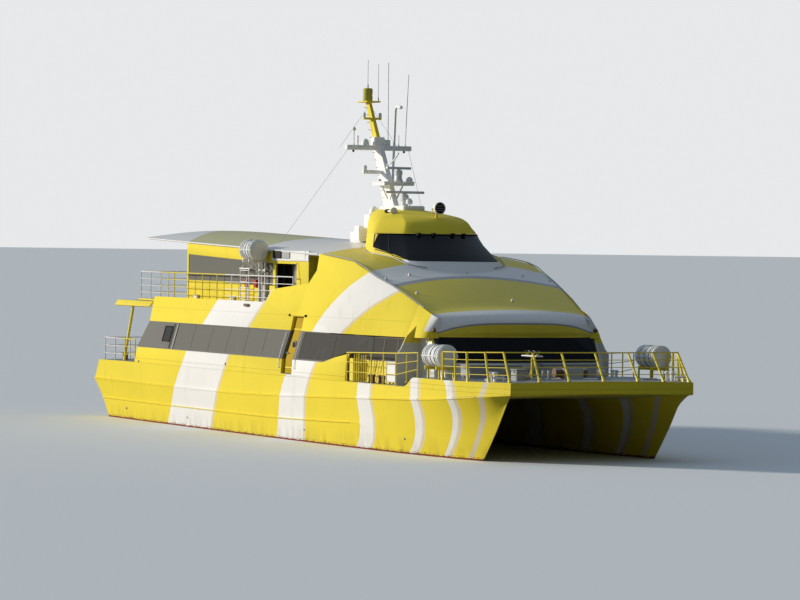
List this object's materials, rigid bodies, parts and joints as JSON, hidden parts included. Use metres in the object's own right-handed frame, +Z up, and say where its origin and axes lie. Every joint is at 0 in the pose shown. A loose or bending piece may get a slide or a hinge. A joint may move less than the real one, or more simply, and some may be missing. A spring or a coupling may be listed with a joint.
{
  "type": "passenger ferry",
  "caption": "Fast catamaran passenger ferry with twin flared hulls, a raked saloon front, an upper saloon, a domed wheelhouse, a mast with radars, and waterjets.",
  "frame": {"origin": "on the centreline at the waterline, midway between the stern and the bow", "axes": "+X to the bow, +Y to port, +Z up"},
  "size_m": [39.9, 10.1, 17.75],
  "materials": {
    "yellow_paint": "semi-gloss marine paint, hull and house yellow",
    "white_paint": "semi-gloss marine paint, off-white",
    "deck_paint": "matt non-slip deck paint",
    "grey_paint": "semi-gloss grey paint",
    "window_glass": "dark tinted safety glass",
    "bare_metal": "bare weathered aluminium",
    "raft_shell": "moulded glass-fibre shell",
    "radar_shell": "radar scanner housing"
  },
  "bodies": {
    "vessel": {"bay_glass_port": "window_glass", "bay_glass_starboard": "window_glass", "bay_wall_port": "yellow_paint", "bay_wall_starboard": "yellow_paint", "bow_rail": "yellow_paint", "canopy": "yellow_paint", "cradle_fore_port": "white_paint", "cradle_fore_starboard": "white_paint", "cradle_upper_port": "white_paint", "cradle_upper_starboard": "white_paint", "deck_structure": "yellow_paint", "forehead": "yellow_paint", "front_glass": "window_glass", "front_wall": "yellow_paint", "hull_port": "yellow_paint", "hull_starboard": "yellow_paint", "jet_housing_port": "bare_metal", "jet_housing_starboard": "bare_metal", "mast_lower": "white_paint", "mast_upper": "yellow_paint", "radar_lower_pedestal": "radar_shell", "radar_upper_pedestal": "radar_shell", "raft_fore_port": "raft_shell", "raft_fore_starboard": "raft_shell", "raft_upper_port": "raft_shell", "raft_upper_starboard": "raft_shell", "roof_unit": "white_paint", "saloon_bulkhead": "white_paint", "saloon_glass_aft_port": "window_glass", "saloon_glass_aft_starboard": "window_glass", "saloon_glass_forward_port": "window_glass", "saloon_glass_forward_starboard": "window_glass", "saloon_side_port": "yellow_paint", "saloon_side_starboard": "yellow_paint", "searchlight": "white_paint", "side_rail_port": "yellow_paint", "side_rail_starboard": "yellow_paint", "stern_rail_port": "white_paint", "stern_rail_starboard": "white_paint", "upper_deck": "deck_paint", "upper_glass_port": "window_glass", "upper_glass_starboard": "window_glass", "upper_house": "yellow_paint", "upper_rail": "white_paint", "upper_roof": "white_paint", "wheelhouse": "yellow_paint", "wheelhouse_glass": "window_glass", "wheelhouse_roof": "yellow_paint", "windlass": "bare_metal"},
    "radar_upper_scanner": {"radar_upper_scanner": "radar_shell"},
    "radar_lower_scanner": {"radar_lower_scanner": "radar_shell"},
    "boarding_door_port": {"boarding_door_port": "yellow_paint"},
    "boarding_door_starboard": {"boarding_door_starboard": "yellow_paint"},
    "saloon_aft_door": {"saloon_aft_door": "grey_paint"},
    "upper_aft_door": {"upper_aft_door": "grey_paint"},
    "jet_nozzle_port": {"jet_nozzle_port": "bare_metal"},
    "jet_nozzle_starboard": {"jet_nozzle_starboard": "bare_metal"},
    "jet_bucket_port": {"jet_bucket_port": "bare_metal"},
    "jet_bucket_starboard": {"jet_bucket_starboard": "bare_metal"}
  },
  "joints": [
    {"name": "radar_upper_spin", "type": "hinge", "parent": "vessel", "child": "radar_upper_scanner", "pos_m": [1.48, 0.1, 11.4], "axis": [0, 0, 1], "continuous": true},
    {"name": "radar_lower_spin", "type": "hinge", "parent": "vessel", "child": "radar_lower_scanner", "pos_m": [2.3, 0, 10.42], "axis": [0, 0, 1], "continuous": true},
    {"name": "boarding_door_port_hinge", "type": "hinge", "parent": "vessel", "child": "boarding_door_port", "pos_m": [1.992, 4.71254, 3.94], "axis": [-0.0756, 0.1934, -0.9782], "range_deg": [0, 88]},
    {"name": "boarding_door_starboard_hinge", "type": "hinge", "parent": "vessel", "child": "boarding_door_starboard", "pos_m": [1.992, -4.71254, 3.94], "axis": [0.0756, 0.1934, 0.9782], "range_deg": [0, 88]},
    {"name": "saloon_aft_door_hinge", "type": "hinge", "parent": "vessel", "child": "saloon_aft_door", "pos_m": [-14.318, -0.456, 3.85], "axis": [0, 0, 1], "range_deg": [0, 100]},
    {"name": "upper_aft_door_hinge", "type": "hinge", "parent": "vessel", "child": "upper_aft_door", "pos_m": [-11.768, -0.436, 6.7], "axis": [0, 0, 1], "range_deg": [0, 100]},
    {"name": "jet_steering_port", "type": "hinge", "parent": "vessel", "child": "jet_nozzle_port", "pos_m": [-19.13, 3.78, -0.06], "axis": [0, 0, 1], "range_deg": [-30, 30]},
    {"name": "jet_reverse_port", "type": "hinge", "parent": "jet_nozzle_port", "child": "jet_bucket_port", "pos_m": [-19.35, 3.78, -0.06], "axis": [0, -1, 0], "range_deg": [0, 50]},
    {"name": "jet_steering_starboard", "type": "hinge", "parent": "vessel", "child": "jet_nozzle_starboard", "pos_m": [-19.13, -3.78, -0.06], "axis": [0, 0, 1], "range_deg": [-30, 30]},
    {"name": "jet_reverse_starboard", "type": "hinge", "parent": "jet_nozzle_starboard", "child": "jet_bucket_starboard", "pos_m": [-19.35, -3.78, -0.06], "axis": [0, -1, 0], "range_deg": [0, 50]}
  ]
}
